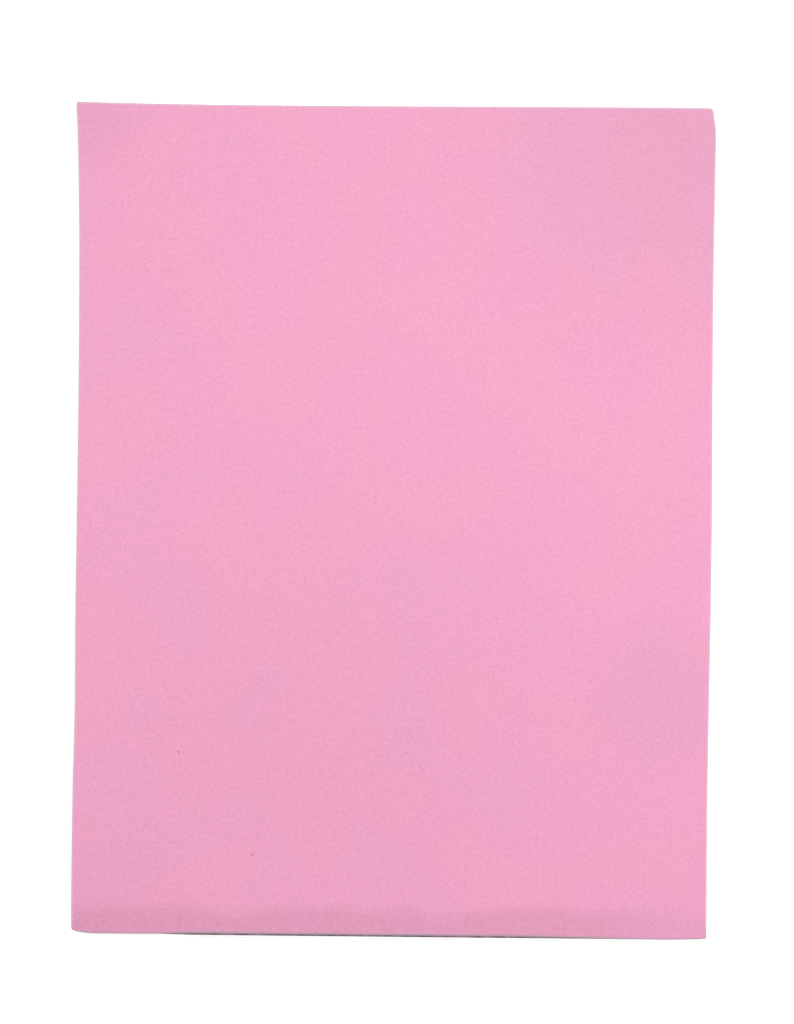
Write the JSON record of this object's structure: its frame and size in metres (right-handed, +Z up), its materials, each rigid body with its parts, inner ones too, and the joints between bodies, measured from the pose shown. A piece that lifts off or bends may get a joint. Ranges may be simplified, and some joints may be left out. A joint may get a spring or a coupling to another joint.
{
  "type": "scoring board",
  "caption": "Flat foam-faced scoring board for card and paper craft: soft sheet taped over a stiff board that stands on low rubber feet.",
  "frame": {"origin": "on the table, under the middle of the whole outline", "axes": "+X to the user's right across the board, +Y along it away from the user, +Z up out of the foam face"},
  "size_m": [0.215, 0.2816, 0.0065],
  "materials": {
    "eva_foam": "matte closed-cell EVA foam, pale pink, fine grain",
    "adhesive_film": "glossy, slightly yellow acrylic adhesive film",
    "foamed_pvc": "white foamed PVC sheet, satin skin, sawn edges",
    "foot_rubber": "milky polyurethane rubber, satin"
  },
  "bodies": {
    "root": {"foam_face": "eva_foam", "face_adhesive": "adhesive_film", "core_board": "foamed_pvc", "foot_front_left": "foot_rubber", "foot_middle_left": "foot_rubber", "foot_rear_left": "foot_rubber", "foot_front_right": "foot_rubber", "foot_middle_right": "foot_rubber", "foot_rear_right": "foot_rubber", "foot_adhesive_front_left": "adhesive_film", "foot_adhesive_middle_left": "adhesive_film", "foot_adhesive_rear_left": "adhesive_film", "foot_adhesive_front_right": "adhesive_film", "foot_adhesive_middle_right": "adhesive_film", "foot_adhesive_rear_right": "adhesive_film"}
  },
  "joints": []
}
